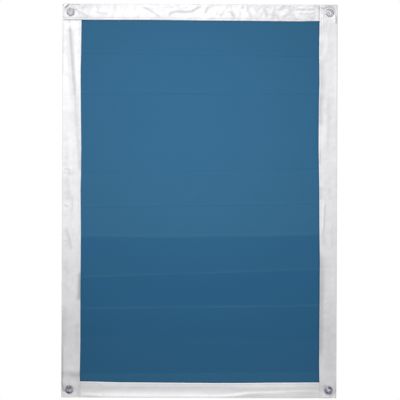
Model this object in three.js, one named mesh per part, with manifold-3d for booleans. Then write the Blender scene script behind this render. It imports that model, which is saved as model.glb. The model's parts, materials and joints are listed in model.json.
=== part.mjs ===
// Skylight window blind: a blue blackout cloth on a silver lining. The lining's margins are
// folded round to the front as four sewn hems, and a clear suction cup at each corner buttons
// through the layers with its mushroom head and grips the pane behind.
// Units are millimetres. X runs across the blind, Z runs up it, and the room is on the -Y side.
// Depth is the distance from the glass into the room, so a point at depth d has y = -d.
import * as THREE from "three";
import { mergeVertices } from "three/addons/utils/BufferGeometryUtils.js";
import Module from "manifold-3d";

// Overall sizes
const blind_width = 360;
const blind_height = 515;

// Layers
const lining_thickness = 0.25;
const cloth_thickness = 0.3;
const layer_gap = 0.15;
const fit_clearance = 0.3;

// Hems: how much of each shows, and how the fold is laid
const left_hem_width = 23.5;
const right_hem_width = 22.5;
const top_hem_width = 21.5;
const bottom_hem_width = 21.5;
const hem_return = 2.2;
const cloth_tuck = 1;
const top_hem_left_inset = 1.3;
const lap_ramp = 2;
const lap_margin = 0.8;
const fold_steps = 6;

// Seams
const seam_inset = 2.5;
const thread_width = 0.5;
const thread_thickness = 0.25;
const thread_gap = 0.05;

// Packing creases, from the top edge down, as shares of the height; they bend the layers
// back and forth in turn, and the blind folds up at two of them
const crease_depth = 0.7;
const crease_shares = [0.1295, 0.2272, 0.3299, 0.4239, 0.5126, 0.5862, 0.6827, 0.7689, 0.8528, 0.9379];
const middle_fold_number = 5;
const lower_fold_number = 8;

// Suction cups
const cup_inset = 10.5;
const cup_diameter = 20;
const cup_height = 5;
const cup_crown_thickness = 2.6;
const cup_lip_width = 1.2;
const cup_lip_thickness = 0.5;
const cup_flank_share = 0.3;
const shoulder_diameter = 9.6;
const neck_diameter = 6;
const head_diameter = 10.9;
const head_thickness = 3.4;
const head_edge_radius = 0.9;
const dimple_diameter = 4.6;
const dimple_depth = 1;
const cup_sides = 36;
const cup_curve_steps = 5;

// Places of the edges
const left_edge = -blind_width / 2;
const right_edge = blind_width / 2;
const bottom_edge = -blind_height / 2;
const top_edge = blind_height / 2;
const left_hem_edge = left_edge + left_hem_width;
const right_hem_edge = right_edge - right_hem_width;
const bottom_hem_edge = bottom_edge + bottom_hem_width;
const top_hem_edge = top_edge - top_hem_width;
const corner_tuck = hem_return + fit_clearance;

// Depths of the back of each layer, from the glass outwards
const lining_back = cup_height + fit_clearance;
const cloth_back = lining_back + lining_thickness + layer_gap;
const hem_back = cloth_back + cloth_thickness + layer_gap;
const lap_rise = lining_thickness + layer_gap;
const corner_front = hem_back + lap_rise + lining_thickness;

// Places of the creases and of the two fold lines
const creases = crease_shares.map((share) => top_edge - share * blind_height);
const middle_fold = creases[middle_fold_number - 1];
const lower_fold = creases[lower_fold_number - 1];

// The three panels between the folds, each as its lowest and highest place
const panels = {
  upper: [middle_fold + fit_clearance / 2, top_edge],
  middle: [lower_fold + fit_clearance / 2, middle_fold - fit_clearance / 2],
  lower: [bottom_edge, lower_fold - fit_clearance / 2],
};

// Materials
const blue_cloth = new THREE.MeshStandardMaterial({ color: 0x386c90, roughness: 0.8, metalness: 0 });
const silver_lining = new THREE.MeshStandardMaterial({ color: 0xdfe0e4, roughness: 0.5, metalness: 0.3 });
const grey_thread = new THREE.MeshStandardMaterial({ color: 0xc9cace, roughness: 0.7, metalness: 0 });
const clear_plastic = new THREE.MeshStandardMaterial({
  color: 0xa9a4b5,
  roughness: 0.15,
  metalness: 0,
  transparent: true,
  opacity: 0.6,
});

const wasm = await Module();
wasm.setup();

// A value read off straight stretches between [place, value] points, held level past the ends.
function along(points, place) {
  const after = points.findIndex(([at]) => place <= at);
  if (after === 0) return points[0][1];
  if (after < 0) return points.at(-1)[1];
  const [start, from] = points[after - 1];
  const [end, to] = points[after];
  return THREE.MathUtils.mapLinear(place, start, end, from, to);
}

// How far the packing creases push the layers into the room at a height: flat behind the
// top and bottom hems, then a valley and a ridge in turn.
const crease_line = [
  [top_hem_edge, 0],
  ...creases.map((z, i) => [z, i % 2 ? crease_depth : -crease_depth]),
  [bottom_hem_edge, 0],
].reverse();

function creaseOffset(z) {
  return along(crease_line, z);
}

// The places between two ends where a run of stretches bends, with the ends themselves.
function levelsBetween(low, high, bends) {
  const inside = bends.filter((z) => z > low && z < high);
  return [low, ...inside, high].sort((a, b) => a - b);
}

// A closed body lofted through the same section at each level. Both ends are capped.
function loft(sectionAt, levels, place) {
  const backwards = THREE.ShapeUtils.isClockWise(sectionAt(levels[0]));
  const rings = levels.map((at) => (backwards ? sectionAt(at).reverse() : sectionAt(at)));
  const count = rings[0].length;
  const positions = rings.flatMap((ring, i) => ring.flatMap((point) => place(levels[i], point)));
  const cap = THREE.ShapeUtils.triangulateShape(rings[0], []);
  const last = (levels.length - 1) * count;
  const faces = cap.flatMap(([a, b, c]) => [a, c, b, last + a, last + b, last + c]);
  for (let i = 0; i < last; i += count) {
    for (let j = 0; j < count; j++) {
      const next = (j + 1) % count;
      faces.push(i + j, i + next, i + count + j, i + next, i + count + next, i + count + j);
    }
  }
  const geometry = new THREE.BufferGeometry();
  geometry.setAttribute("position", new THREE.Float32BufferAttribute(positions, 3));
  geometry.setIndex(faces);
  return outward(geometry);
}

// The same body with its faces turned out, whichever way its section ran.
function outward(geometry) {
  const solid = solidOf(geometry);
  if (solid.volume() < 0) {
    const index = geometry.index.array;
    for (let i = 0; i < index.length; i += 3) [index[i], index[i + 1]] = [index[i + 1], index[i]];
  }
  return geometry;
}

function solidOf(geometry) {
  const bare = geometry.clone();
  bare.deleteAttribute("normal");
  bare.deleteAttribute("uv");
  const merged = mergeVertices(bare);
  return new wasm.Manifold(
    new wasm.Mesh({
      numProp: 3,
      vertProperties: merged.attributes.position.array,
      triVerts: new Uint32Array(merged.index.array),
    }),
  );
}

function geometryOf(solid) {
  const mesh = solid.getMesh();
  const geometry = new THREE.BufferGeometry();
  geometry.setAttribute("position", new THREE.BufferAttribute(mesh.vertProperties, 3));
  geometry.setIndex(new THREE.BufferAttribute(mesh.triVerts, 1));
  return geometry;
}

// Upright and level pieces are drawn as a section of (across, depth) points. An upright one
// runs up the blind and takes the creases; a level one runs across it behind no crease.
const upright = (z, point) => [point.x, -(point.y + creaseOffset(z)), z];
const level = (x, point) => [x, -point.y, point.x];

function rectangle(from, to, back, thickness) {
  return [
    new THREE.Vector2(from, back),
    new THREE.Vector2(to, back),
    new THREE.Vector2(to, back + thickness),
    new THREE.Vector2(from, back + thickness),
  ];
}

// A hem's section: a front leg from the hem's inner edge to the blind's edge, a round fold
// there, and a short return behind the cloth that meets the lining edge to edge.
function hemSection(edge, inner, rise) {
  const outwards = Math.sign(edge - inner);
  const front = hem_back + rise + lining_thickness;
  const radius = (front - lining_back) / 2;
  const centre = new THREE.Vector2(edge - outwards * radius, lining_back + radius);
  const arc = (r) =>
    Array.from({ length: fold_steps + 1 }, (_, i) => {
      const angle = Math.PI / 2 - (Math.PI * i) / fold_steps;
      return new THREE.Vector2(outwards * r * Math.cos(angle), r * Math.sin(angle)).add(centre);
    });
  const end = edge - outwards * hem_return;
  return [
    new THREE.Vector2(inner, front),
    ...arc(radius),
    new THREE.Vector2(end, lining_back),
    new THREE.Vector2(end, lining_back + lining_thickness),
    ...arc(radius - lining_thickness).reverse(),
    new THREE.Vector2(inner, front - lining_thickness),
  ];
}

// How far a hem has climbed on to the hems under its ends.
function climbOver(lowEdge, highEdge) {
  const low = lowEdge === undefined ? [] : [lowEdge + lap_margin, lowEdge + lap_margin + lap_ramp];
  const high = highEdge === undefined ? [] : [highEdge - lap_margin - lap_ramp, highEdge - lap_margin];
  const points = [];
  if (low.length) points.push([low[0], lap_rise], [low[1], 0]);
  if (high.length) points.push([high[0], 0], [high[1], lap_rise]);
  return { bends: [...low, ...high], rise: (place) => (points.length ? along(points, place) : 0) };
}

const over = {
  left: climbOver(bottom_hem_edge, undefined),
  right: climbOver(bottom_hem_edge, top_hem_edge),
  top: climbOver(left_hem_edge, undefined),
  bottom: climbOver(undefined, undefined),
};

const bends_up = crease_line.map(([z]) => z);

// The two sheets of a panel
function sheet(panel, inset, back, thickness) {
  const low = Math.max(panel[0], bottom_edge + inset);
  const high = Math.min(panel[1], top_edge - inset);
  const section = rectangle(left_edge + inset, right_edge - inset, back, thickness);
  return loft(() => section, levelsBetween(low, high, bends_up), upright);
}

// A side hem's stretch on a panel: the left one ends inside the top hem's fold, and the
// right one runs past both of its neighbours.
function sideHem(panel, edge, inner, lap, highest) {
  const high = Math.min(panel[1], highest);
  const levels = levelsBetween(panel[0], high, [...bends_up, ...lap.bends]);
  return loft((z) => hemSection(edge, inner, lap.rise(z)), levels, upright);
}

function crossHem(edge, inner, lap, from, to) {
  const levels = levelsBetween(from, to, lap.bends);
  return loft((x) => hemSection(edge, inner, lap.rise(x)), levels, level);
}

// A seam's thread lies on the hem, a little in from its inner edge, and follows its climbs.
function seam(inner, edge, lap, levels, place) {
  const line = inner + Math.sign(edge - inner) * seam_inset;
  const sectionAt = (at) => {
    const back = hem_back + lap.rise(at) + lining_thickness + thread_gap;
    return rectangle(line - thread_width / 2, line + thread_width / 2, back, thread_thickness);
  };
  return loft(sectionAt, levels, place);
}

function sideSeam(panel, edge, inner, lap, lowest, highest) {
  const low = Math.max(panel[0], lowest);
  const high = Math.min(panel[1], highest);
  return seam(inner, edge, lap, levelsBetween(low, high, [...bends_up, ...lap.bends]), upright);
}

function crossSeam(edge, inner, lap, from, to) {
  return seam(inner, edge, lap, levelsBetween(from, to, lap.bends), level);
}

// Suction cup: lip and hollow against the glass, a shoulder behind the lining, a neck through
// the layers and a dimpled mushroom head in front. It is turned round its own Y axis. The
// flank sags from the lip to the shoulder, and stays outside the hollow all the way.
function cupGeometry() {
  const lip_radius = cup_diameter / 2;
  const shoulder_radius = shoulder_diameter / 2;
  const neck_radius = neck_diameter / 2;
  const head_radius = head_diameter / 2;
  const dimple_radius = dimple_diameter / 2;
  const land_radius = lip_radius - cup_lip_width;
  const hollow_depth = cup_height - cup_crown_thickness;
  const flank_radius = THREE.MathUtils.lerp(shoulder_radius, lip_radius, cup_flank_share);
  const flank_depth = THREE.MathUtils.lerp(cup_lip_thickness, cup_height, cup_flank_share);
  const head_back = corner_front + fit_clearance;
  const head_front = head_back + head_thickness;
  const dimple_floor = head_front - dimple_depth;
  const outline = new THREE.Path();
  outline.moveTo(0, hollow_depth);
  outline.quadraticCurveTo(land_radius / 2, hollow_depth, land_radius, 0);
  outline.lineTo(lip_radius, 0);
  outline.lineTo(lip_radius, cup_lip_thickness);
  outline.quadraticCurveTo(flank_radius, flank_depth, shoulder_radius, cup_height);
  outline.lineTo(neck_radius, cup_height);
  outline.lineTo(neck_radius, head_back);
  outline.lineTo(head_radius - head_edge_radius, head_back);
  outline.quadraticCurveTo(head_radius, head_back, head_radius, head_back + head_edge_radius);
  outline.quadraticCurveTo(head_radius, head_front, dimple_radius, head_front);
  outline.quadraticCurveTo(dimple_radius, dimple_floor, dimple_radius / 2, dimple_floor);
  outline.lineTo(0, dimple_floor);
  const profile = outline
    .getPoints(cup_curve_steps)
    .map((point) => new THREE.Vector2(Math.max(point.x, 0), -point.y));
  return new THREE.LatheGeometry(profile.reverse(), cup_sides);
}

const cup_places = {
  top_left: [left_edge + cup_inset, top_edge - cup_inset],
  top_right: [right_edge - cup_inset, top_edge - cup_inset],
  bottom_left: [left_edge + cup_inset, bottom_edge + cup_inset],
  bottom_right: [right_edge - cup_inset, bottom_edge + cup_inset],
};

// A piece with the cups' holes punched through it, each a clearance wider than the neck.
function punched(geometry) {
  const radius = neck_diameter / 2 + fit_clearance;
  let solid = solidOf(geometry);
  for (const [x, z] of Object.values(cup_places)) {
    const punch = new THREE.CylinderGeometry(radius, radius, 2 * corner_front, cup_sides);
    punch.translate(x, -corner_front, z);
    solid = solid.subtract(solidOf(punch));
  }
  return geometryOf(solid);
}

function named(name, geometry, material) {
  const mesh = new THREE.Mesh(geometry, material);
  mesh.name = name;
  return mesh;
}

function cup(corner) {
  const mesh = named(`cup_${corner}`, cupGeometry(), clear_plastic);
  const [x, z] = cup_places[corner];
  mesh.position.set(x, 0, z);
  return mesh;
}

const left_hem_top = top_edge - corner_tuck;
const seam_low = bottom_edge + seam_inset;
const left_seam_top = top_hem_edge - fit_clearance;
const right_seam_top = top_edge - seam_inset;

// Each panel carries its stretch of the cloth, the lining, both side hems and their seams.
function panelGroup(name) {
  const panel = panels[name];
  const group = new THREE.Group();
  group.add(
    named(
      `lining_${name}`,
      punched(sheet(panel, corner_tuck, lining_back, lining_thickness)),
      silver_lining,
    ),
    named(
      `face_cloth_${name}`,
      punched(sheet(panel, cloth_tuck, cloth_back, cloth_thickness)),
      blue_cloth,
    ),
    named(
      `hem_left_${name}`,
      punched(sideHem(panel, left_edge, left_hem_edge, over.left, left_hem_top)),
      silver_lining,
    ),
    named(
      `hem_right_${name}`,
      punched(sideHem(panel, right_edge, right_hem_edge, over.right, top_edge)),
      silver_lining,
    ),
    named(
      `seam_left_${name}`,
      sideSeam(panel, left_edge, left_hem_edge, over.left, seam_low, left_seam_top),
      grey_thread,
    ),
    named(
      `seam_right_${name}`,
      sideSeam(panel, right_edge, right_hem_edge, over.right, seam_low, right_seam_top),
      grey_thread,
    ),
  );
  return group;
}

const upper = panelGroup("upper");
const top_hem_from = left_edge + top_hem_left_inset;
const cross_hem_to = right_edge - corner_tuck;
const cross_seam_to = right_hem_edge - fit_clearance;
upper.add(
  named(
    "hem_top",
    punched(crossHem(top_edge, top_hem_edge, over.top, top_hem_from, cross_hem_to)),
    silver_lining,
  ),
  named(
    "seam_top",
    crossSeam(top_edge, top_hem_edge, over.top, top_hem_from + seam_inset, cross_seam_to),
    grey_thread,
  ),
  cup("top_left"),
  cup("top_right"),
);

const lower = panelGroup("lower");
const bottom_hem_from = left_edge + corner_tuck;
const bottom_seam_from = left_hem_edge + fit_clearance;
lower.add(
  named(
    "hem_bottom",
    punched(crossHem(bottom_edge, bottom_hem_edge, over.bottom, bottom_hem_from, cross_hem_to)),
    silver_lining,
  ),
  named(
    "seam_bottom",
    crossSeam(bottom_edge, bottom_hem_edge, over.bottom, bottom_seam_from, cross_seam_to),
    grey_thread,
  ),
  cup("bottom_left"),
  cup("bottom_right"),
);

const blind = new THREE.Group();
blind.add(upper, panelGroup("middle"), lower);

export default blind;
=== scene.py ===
# %% [markdown]
# The object is a skylight window blind: a blue blackout cloth on a silver-white lining, whose
# margins are folded round to the front as four sewn hems, with a clear suction cup buttoned
# through each corner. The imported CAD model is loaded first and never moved, so that every
# sheet, stitch and cup made here has a place to be.

# %% Load the frame
import json
from math import cos, pi, radians, sin
from typing import NamedTuple

import bpy
import numpy as np
from mathutils import Matrix, Vector


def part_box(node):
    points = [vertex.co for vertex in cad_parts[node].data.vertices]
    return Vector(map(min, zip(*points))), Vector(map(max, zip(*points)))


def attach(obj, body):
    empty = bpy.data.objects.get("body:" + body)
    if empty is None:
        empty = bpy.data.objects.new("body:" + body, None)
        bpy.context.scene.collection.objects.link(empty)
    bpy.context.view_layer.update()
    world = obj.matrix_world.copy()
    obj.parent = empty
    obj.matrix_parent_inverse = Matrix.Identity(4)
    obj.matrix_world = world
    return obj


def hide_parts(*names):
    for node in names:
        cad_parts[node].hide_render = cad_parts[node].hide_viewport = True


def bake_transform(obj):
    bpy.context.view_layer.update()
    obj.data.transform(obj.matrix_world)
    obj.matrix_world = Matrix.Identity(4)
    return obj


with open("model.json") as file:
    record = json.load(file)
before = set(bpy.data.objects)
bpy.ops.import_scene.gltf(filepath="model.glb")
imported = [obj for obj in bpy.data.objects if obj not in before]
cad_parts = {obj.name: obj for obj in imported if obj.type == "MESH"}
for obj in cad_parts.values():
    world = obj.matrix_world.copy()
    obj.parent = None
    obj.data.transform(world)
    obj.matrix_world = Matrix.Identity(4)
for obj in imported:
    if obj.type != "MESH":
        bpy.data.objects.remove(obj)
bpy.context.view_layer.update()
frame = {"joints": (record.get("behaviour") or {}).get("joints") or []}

# %% [markdown]
# Cloth is a matter of tenths of a millimetre, so places and sizes are worked out in
# millimetres and turned into Blender's metres when a mesh is made. X runs across the blind, Z
# up it, and the room is on the -Y side, so a point at depth d from the glass has y = -d. All
# the edges are read from the frame.

# %% Units and edges
mm = 0.001


def edges(node):
    """A CAD node's lowest and highest corners, in millimetres."""
    low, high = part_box(node)
    return low / mm, high / mm


left_edge = edges("hem_left_upper")[0].x
right_edge = edges("hem_right_upper")[1].x
bottom_edge = edges("hem_bottom")[0].z
top_edge = edges("hem_top")[1].z
left_hem_edge = edges("hem_left_upper")[1].x
right_hem_edge = edges("hem_right_upper")[0].x
bottom_hem_edge = edges("hem_bottom")[1].z
top_hem_edge = edges("hem_top")[0].z
print("blind", round(right_edge - left_edge, 1), "by", round(top_edge - bottom_edge, 1), "mm")

# %% [markdown]
# The camera comes first, so that each piece can be judged as the photograph shows it. The
# blind is seen square on from far off, with its width filling 275 of the picture's 400
# pixels, turned clockwise by a fifth of a degree and a little off the centre. A long lens a
# few metres away keeps its sides parallel, as they are in the photograph.

# %% Camera
picture_width = 400
blind_width_in_picture = 274.6
blind_centre_in_picture = (199.5, 201.0)
clockwise_turn = radians(0.21)
camera_distance = 3.2

metres_per_pixel = (right_edge - left_edge) * mm / blind_width_in_picture
camera_data = bpy.data.cameras.new("camera")
camera_data.sensor_width = 36
camera_data.lens = camera_data.sensor_width * camera_distance / (picture_width * metres_per_pixel)
camera = bpy.data.objects.new("camera", camera_data)
camera.location = (
    (picture_width / 2 - blind_centre_in_picture[0]) * metres_per_pixel,
    -camera_distance,
    (blind_centre_in_picture[1] - picture_width / 2) * metres_per_pixel,
)
camera.rotation_euler = (pi / 2, -clockwise_turn, 0)
bpy.context.collection.objects.link(camera)
bpy.context.scene.camera = camera
bpy.context.scene.view_settings.view_transform = "Standard"
print("lens", round(camera_data.lens, 1), "mm")


def on_blind(across, down):
    """The place on the blind, in millimetres, of a pixel of the 400 by 400 picture."""
    x = (across - blind_centre_in_picture[0]) * metres_per_pixel / mm
    z = (blind_centre_in_picture[1] - down) * metres_per_pixel / mm
    return x - clockwise_turn * z, z + clockwise_turn * x


# %% [markdown]
# Shader maths reads best as arithmetic. A Socket wraps one output of a node, and adding or
# multiplying Sockets adds the Math node that does it. A Finish is a material, or the world,
# being made: its node method adds any other node, first its settings and then its inputs,
# which may be numbers, colours or Sockets.


# %% Sockets that do arithmetic
class Socket:
    def __init__(self, finish, output):
        self.finish = finish
        self.output = output

    def math(self, operation, *values):
        return self.finish.node("Math", {"operation": operation}, dict(enumerate(values)))

    def __add__(self, other):
        return self.math("ADD", self, other)

    __radd__ = __add__

    def __sub__(self, other):
        return self.math("SUBTRACT", self, other)

    def __rsub__(self, other):
        return self.math("SUBTRACT", other, self)

    def __mul__(self, other):
        return self.math("MULTIPLY", self, other)

    def sine(self):
        return self.math("SINE", self)

    def clamped(self):
        return self.finish.node("Clamp", {}, {"Value": self})


class Finish:
    def __init__(self, owner):
        self.owner = owner
        owner.use_nodes = True
        self.tree = owner.node_tree
        self.tree.nodes.clear()

    def node(self, kind, settings, inputs, output=None):
        """Adds a node and gives the Socket of its named output, or of its first one in use."""
        made = self.tree.nodes.new(f"ShaderNode{kind}")
        for name, value in settings.items():
            setattr(made, name, value)
        for name, value in inputs.items():
            free = [socket for socket in made.inputs if socket.enabled]
            target = free[name] if isinstance(name, int) else next(s for s in free if s.name == name)
            if isinstance(value, Socket):
                self.tree.links.new(value.output, target)
            else:
                target.default_value = value
        found = [socket for socket in made.outputs if socket.enabled]
        return Socket(self, next((s for s in found if s.name == output), found[0])) if found else None

    def mix(self, factor, first, second):
        """One colour turning into another as the factor goes from 0 to 1."""
        inputs = {"Factor": factor, "A": first, "B": second}
        return self.node("Mix", {"data_type": "RGBA"}, inputs)

    def noise(self, place, scale, detail=2.0, roughness=0.5):
        inputs = {"Vector": place, "Scale": scale, "Detail": detail, "Roughness": roughness}
        return self.node("TexNoise", {}, inputs)

    def axis(self, place, name):
        """One coordinate of a place."""
        return self.node("SeparateXYZ", {}, {0: place}, name)

    def bump(self, strength, distance, height):
        """A normal bumped by a height that stands for so many millimetres."""
        inputs = {"Strength": strength, "Distance": distance * mm, "Height": height}
        return self.node("Bump", {}, inputs)

    def finished(self, shader):
        self.node("OutputMaterial", {}, {"Surface": shader})
        print("finish", self.owner.name, len(self.tree.nodes), "nodes")
        return self.owner

    def painted(self, inputs):
        """The material, ended with a Principled shader that has these inputs."""
        return self.finished(self.node("BsdfPrincipled", {}, inputs))


# %% [markdown]
# A studio picture on white needs a white background without more light on the blind. The
# world is therefore white only to rays from the camera and to reflected and refracted ones,
# and a plain grey to the diffuse light that falls on the cloth.

# %% White background, grey fill
fill_strength = 0.36

studio = Finish(bpy.data.worlds.new("studio"))
bpy.context.scene.world = studio.owner
seen = studio.node("LightPath", {}, {}, "Is Camera Ray") + studio.node("LightPath", {}, {}, "Is Glossy Ray")
seen = (seen + studio.node("LightPath", {}, {}, "Is Transmission Ray")).clamped()
fill = studio.node("Background", {}, {"Color": (1, 1, 1, 1), "Strength": fill_strength})
white = studio.node("Background", {}, {"Color": (1, 1, 1, 1), "Strength": 1.0})
studio.node("OutputWorld", {}, {"Surface": studio.node("MixShader", {}, {0: seen, 1: fill, 2: white})})
print("world", len(studio.tree.nodes), "nodes")

# %% [markdown]
# The photograph's light is even over the upper half and falls away below the middle, and the
# creases show that it comes from above. One large soft lamp does both: it hangs high in front
# of the blind, a little to the left, and its beam is narrowed so that it fades towards the
# lower edge. The foot is a little brighter again, which a weak narrow lamp does. A lamp
# behind lights the lining for the views from there.


# %% Lamps
def soft_lamp(name, place, aim, size, power, spread):
    data = bpy.data.lights.new(name, "AREA")
    data.shape = "RECTANGLE"
    data.size, data.size_y = size
    data.energy = power
    data.spread = radians(spread)
    lamp = bpy.data.objects.new(name, data)
    lamp.location = place
    lamp.rotation_euler = (Vector(aim) - Vector(place)).to_track_quat("-Z", "Y").to_euler()
    bpy.context.collection.objects.link(lamp)


soft_lamp("key_lamp", (-0.16, -0.8, 0.47), aim=(0, 0, 0.07), size=(0.6, 0.5), power=0.83, spread=50)
soft_lamp("foot_lamp", (0, -0.7, -0.1), aim=(0, 0, -0.262), size=(0.5, 0.04), power=0.006, spread=13)
soft_lamp("back_lamp", (0.6, 1.9, 1.0), aim=(0, 0, 0), size=(1.2, 1.2), power=14, spread=180)

# %% [markdown]
# The pane that the blind hangs on is left out, so it hangs free above a plain pale floor,
# too low to be seen from the camera. A disc with its rim faded out has no edge that would
# show against the white in the views from above.

# %% Floor
floor_radius, floor_drop = 3.0, 0.8
rim_start, rim_end = 1.2, 2.9


def floor_finish():
    pale = Finish(bpy.data.materials.new("pale_floor"))
    place = pale.node("TexCoord", {}, {}, "Object")
    paint = pale.node("BsdfDiffuse", {}, {"Color": (0.9, 0.9, 0.9, 1)})
    nothing = pale.node("BsdfTransparent", {}, {})
    reach = pale.node("VectorMath", {"operation": "LENGTH"}, {0: place}, "Value")
    fade = {"Value": reach, "From Min": rim_start, "From Max": rim_end}
    rim = pale.node("MapRange", {"interpolation_type": "SMOOTHSTEP"}, fade)
    return pale.finished(pale.node("MixShader", {}, {0: rim, 1: paint, 2: nothing}))


bpy.ops.object.select_all(action="DESELECT")
bpy.ops.mesh.primitive_circle_add(
    vertices=96, radius=floor_radius, fill_type="NGON", location=(0, 0, bottom_edge * mm - floor_drop)
)
floor = bpy.context.object
floor.name = "floor"
floor.data.materials.append(floor_finish())

# %% [markdown]
# Woven cloth is warp over weft. A plain weave's height is the product of a sine across the
# cloth and a sine along it, read from the UV map, which is laid out in metres over the flat
# cloth, so the weave follows the folds and keeps one size on every sheet. Yarns are never
# quite even, and two stretched noises, one each way, stand for their thick and thin places.

# %% Weave
blue_yarn_pitch = 0.45 * mm
silver_yarn_pitch = 0.28 * mm
yarn_stretch = (90, 1600)


def weave(finish, pitch):
    """The flat cloth's place, the height of its weave and the unevenness of its yarns."""
    place = finish.node("UVMap", {"uv_map": "flat"}, {})
    across, along = finish.axis(place, "X"), finish.axis(place, "Y")
    turns = 2 * pi / pitch
    height = (across * turns).sine() * (along * turns).sine()
    slow, fast = yarn_stretch
    stretched = finish.node("Mapping", {}, {"Vector": place, "Scale": (slow, fast, 1)})
    crossed = finish.node("Mapping", {}, {"Vector": place, "Scale": (fast, slow, 1)})
    yarns = (finish.noise(stretched, 1.0) + finish.noise(crossed, 1.0)) * 0.5
    return place, height, yarns


# %% [markdown]
# The blue cloth is a matt polyester blackout cloth. Its colour is almost even. Each sheet
# carries an attribute, "shade", of painted light and shade. Below nought it is a painted
# highlight along creases and wrinkles. Above nought it is painted shade that changes from panel
# to panel at the creases, deepest over the lower panels where the light falls away, and a dark
# painted shadow along the hems. A weak specular level keeps the blue deep.

# %% Blue cloth
dark_blue, light_blue = (0.0300, 0.1370, 0.2620, 1), (0.0375, 0.1550, 0.2890, 1)
painted_highlight_blue, painted_shade_blue = (0.090, 0.260, 0.430, 1), (0.006, 0.096, 0.228, 1)
painted_shadow_blue = (0.003, 0.020, 0.050, 1)


def blue_cloth_finish():
    blue = Finish(bpy.data.materials.new("blue_cloth"))
    place, height, yarns = weave(blue, blue_yarn_pitch)
    shade = blue.node("Attribute", {"attribute_name": "shade"}, {}, "Fac")
    cloudy = blue.noise(place, 14.0)
    dyed = blue.mix((yarns * 0.7 + cloudy * 0.3), dark_blue, light_blue)
    # Painted light and shade from the "shade" attribute: a painted highlight, painted shade, and a dark
    # painted shadow by the hems.
    painted_light = blue.mix((0 - shade).clamped(), dyed, painted_highlight_blue)
    deeper = blue.mix(shade.clamped(), painted_light, painted_shade_blue)
    gap_shadow = blue.mix((shade - 1).clamped(), deeper, painted_shadow_blue)
    inputs = {
        "Normal": blue.bump(0.25, 0.05, height * 0.6 + yarns),
        "Base Color": gap_shadow,
        "Roughness": 0.66 + yarns * 0.16,
        "Specular IOR Level": 0.15,
        "Sheen Weight": 0.05,
    }
    return blue.painted(inputs)


blue_cloth = blue_cloth_finish()

# %% [markdown]
# The lining is a taffeta with a thin silver-white coat that throws the sun's heat back. The
# coat is part pigment and part metal flake, so it is set a little metallic and half rough: it
# stays pale, yet each small wrinkle has a soft glint. The hems carry painted light and shade as
# "shade": greyer where a fold's shadow falls, paler where a painted highlight lies on a crown,
# and a little greyer all over by a painted amount for each hem. Fine crumpling too small for the
# mesh is left to the bump.

# %% Silver-white coat
cool_silver, warm_silver = (0.785, 0.790, 0.806, 1), (0.825, 0.819, 0.831, 1)
painted_highlight_white, painted_shade_grey = (0.990, 0.990, 0.990, 1), (0.270, 0.270, 0.290, 1)


def silver_lining_finish():
    silver = Finish(bpy.data.materials.new("silver_lining"))
    place, height, yarns = weave(silver, silver_yarn_pitch)
    shade = silver.node("Attribute", {"attribute_name": "shade"}, {}, "Fac")
    crumple = silver.noise(place, 120.0, 4.0, 0.6)
    cloudy = silver.noise(place, 18.0)
    tint = silver.mix(cloudy, cool_silver, warm_silver)
    # Painted light and shade from the "shade" attribute: paler as a painted highlight, greyer as painted
    # shade.
    paler = silver.mix((0 - shade).clamped(), tint, painted_highlight_white)
    greyer = silver.mix(shade.clamped(), paler, painted_shade_grey)
    inputs = {
        "Normal": silver.bump(0.35, 0.12, crumple + height * 0.06 + yarns * 0.15),
        "Base Color": greyer,
        "Metallic": 0.16 + yarns * 0.12,
        "Roughness": 0.36 + cloudy * 0.18,
        "Specular IOR Level": 0.35,
    }
    return silver.painted(inputs)


silver_lining = silver_lining_finish()

# %% [markdown]
# Sewing thread is two or three plies twisted together. On each stitch the UV map runs along
# and round the thread, so a sine of the two added together draws the twist as a slant.

# %% Thread
twist_pitch = 0.4 * mm
thread_shadow, thread_light = (0.560, 0.568, 0.600, 1), (0.740, 0.745, 0.770, 1)


def thread_finish():
    grey = Finish(bpy.data.materials.new("thread"))
    place = grey.node("UVMap", {"uv_map": "flat"}, {})
    along, around = grey.axis(place, "X"), grey.axis(place, "Y")
    twist = (along * (2 * pi / twist_pitch) + around * (4 * pi)).sine() * 0.5 + 0.5
    plies = grey.mix(twist, thread_shadow, thread_light)
    bumps = grey.bump(0.5, 0.04, twist)
    return grey.painted({"Base Color": plies, "Roughness": 0.5 + twist * 0.15, "Normal": bumps})


thread = thread_finish()

# %% [markdown]
# The cups are clear soft vinyl with a faint violet cast. Light passes through, and the skin is
# uneven, as soft vinyl's is. On the knobs, what is seen through it and reflected in it is
# painted into the colour as bright and dark patches: painted reflections and glints. The discs
# behind the layers are left almost plain. The two cups at the foot look darker, so they get a
# copy of the vinyl with painted shade: darker colours for the dark surroundings they reflect.

# %% Clear vinyl
disc_depth = 5.4
disc_haze, disc_tone = 0.25, 0.8
patch_contrast = 5.0


def clear_cup_finish(name, dark, light, clear):
    """Vinyl of two colours, one for its dark patches, with painted reflections and glints, that lets a
    share of the light through.
    """
    vinyl = Finish(bpy.data.materials.new(name))
    place = vinyl.node("TexCoord", {}, {}, "Object")
    depth = vinyl.axis(place, "Y") * (-1 / mm)
    in_knob = (depth - disc_depth).clamped()
    haze = vinyl.noise(place, 420.0, 3.0) * (in_knob * (1 - disc_haze) + disc_haze)
    # Painted reflections and glints: the knobs' colour breaks up into bright and dark patches.
    patches = ((vinyl.noise(place, 330.0, 1.0) - 0.5) * patch_contrast + 0.5).clamped()
    patches = patches * in_knob + (1 - in_knob) * disc_tone
    inputs = {
        "Normal": vinyl.bump(0.8, 0.5, haze),
        "Base Color": vinyl.mix(patches, dark, light),
        "Roughness": 0.05 + haze * 0.2,
        "IOR": 1.5,
        "Transmission Weight": clear,
    }
    return vinyl.painted(inputs)


clear_cup = clear_cup_finish("clear_cup", (0.71, 0.70, 0.78, 1), (0.89, 0.88, 0.92, 1), 0.38)
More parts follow.
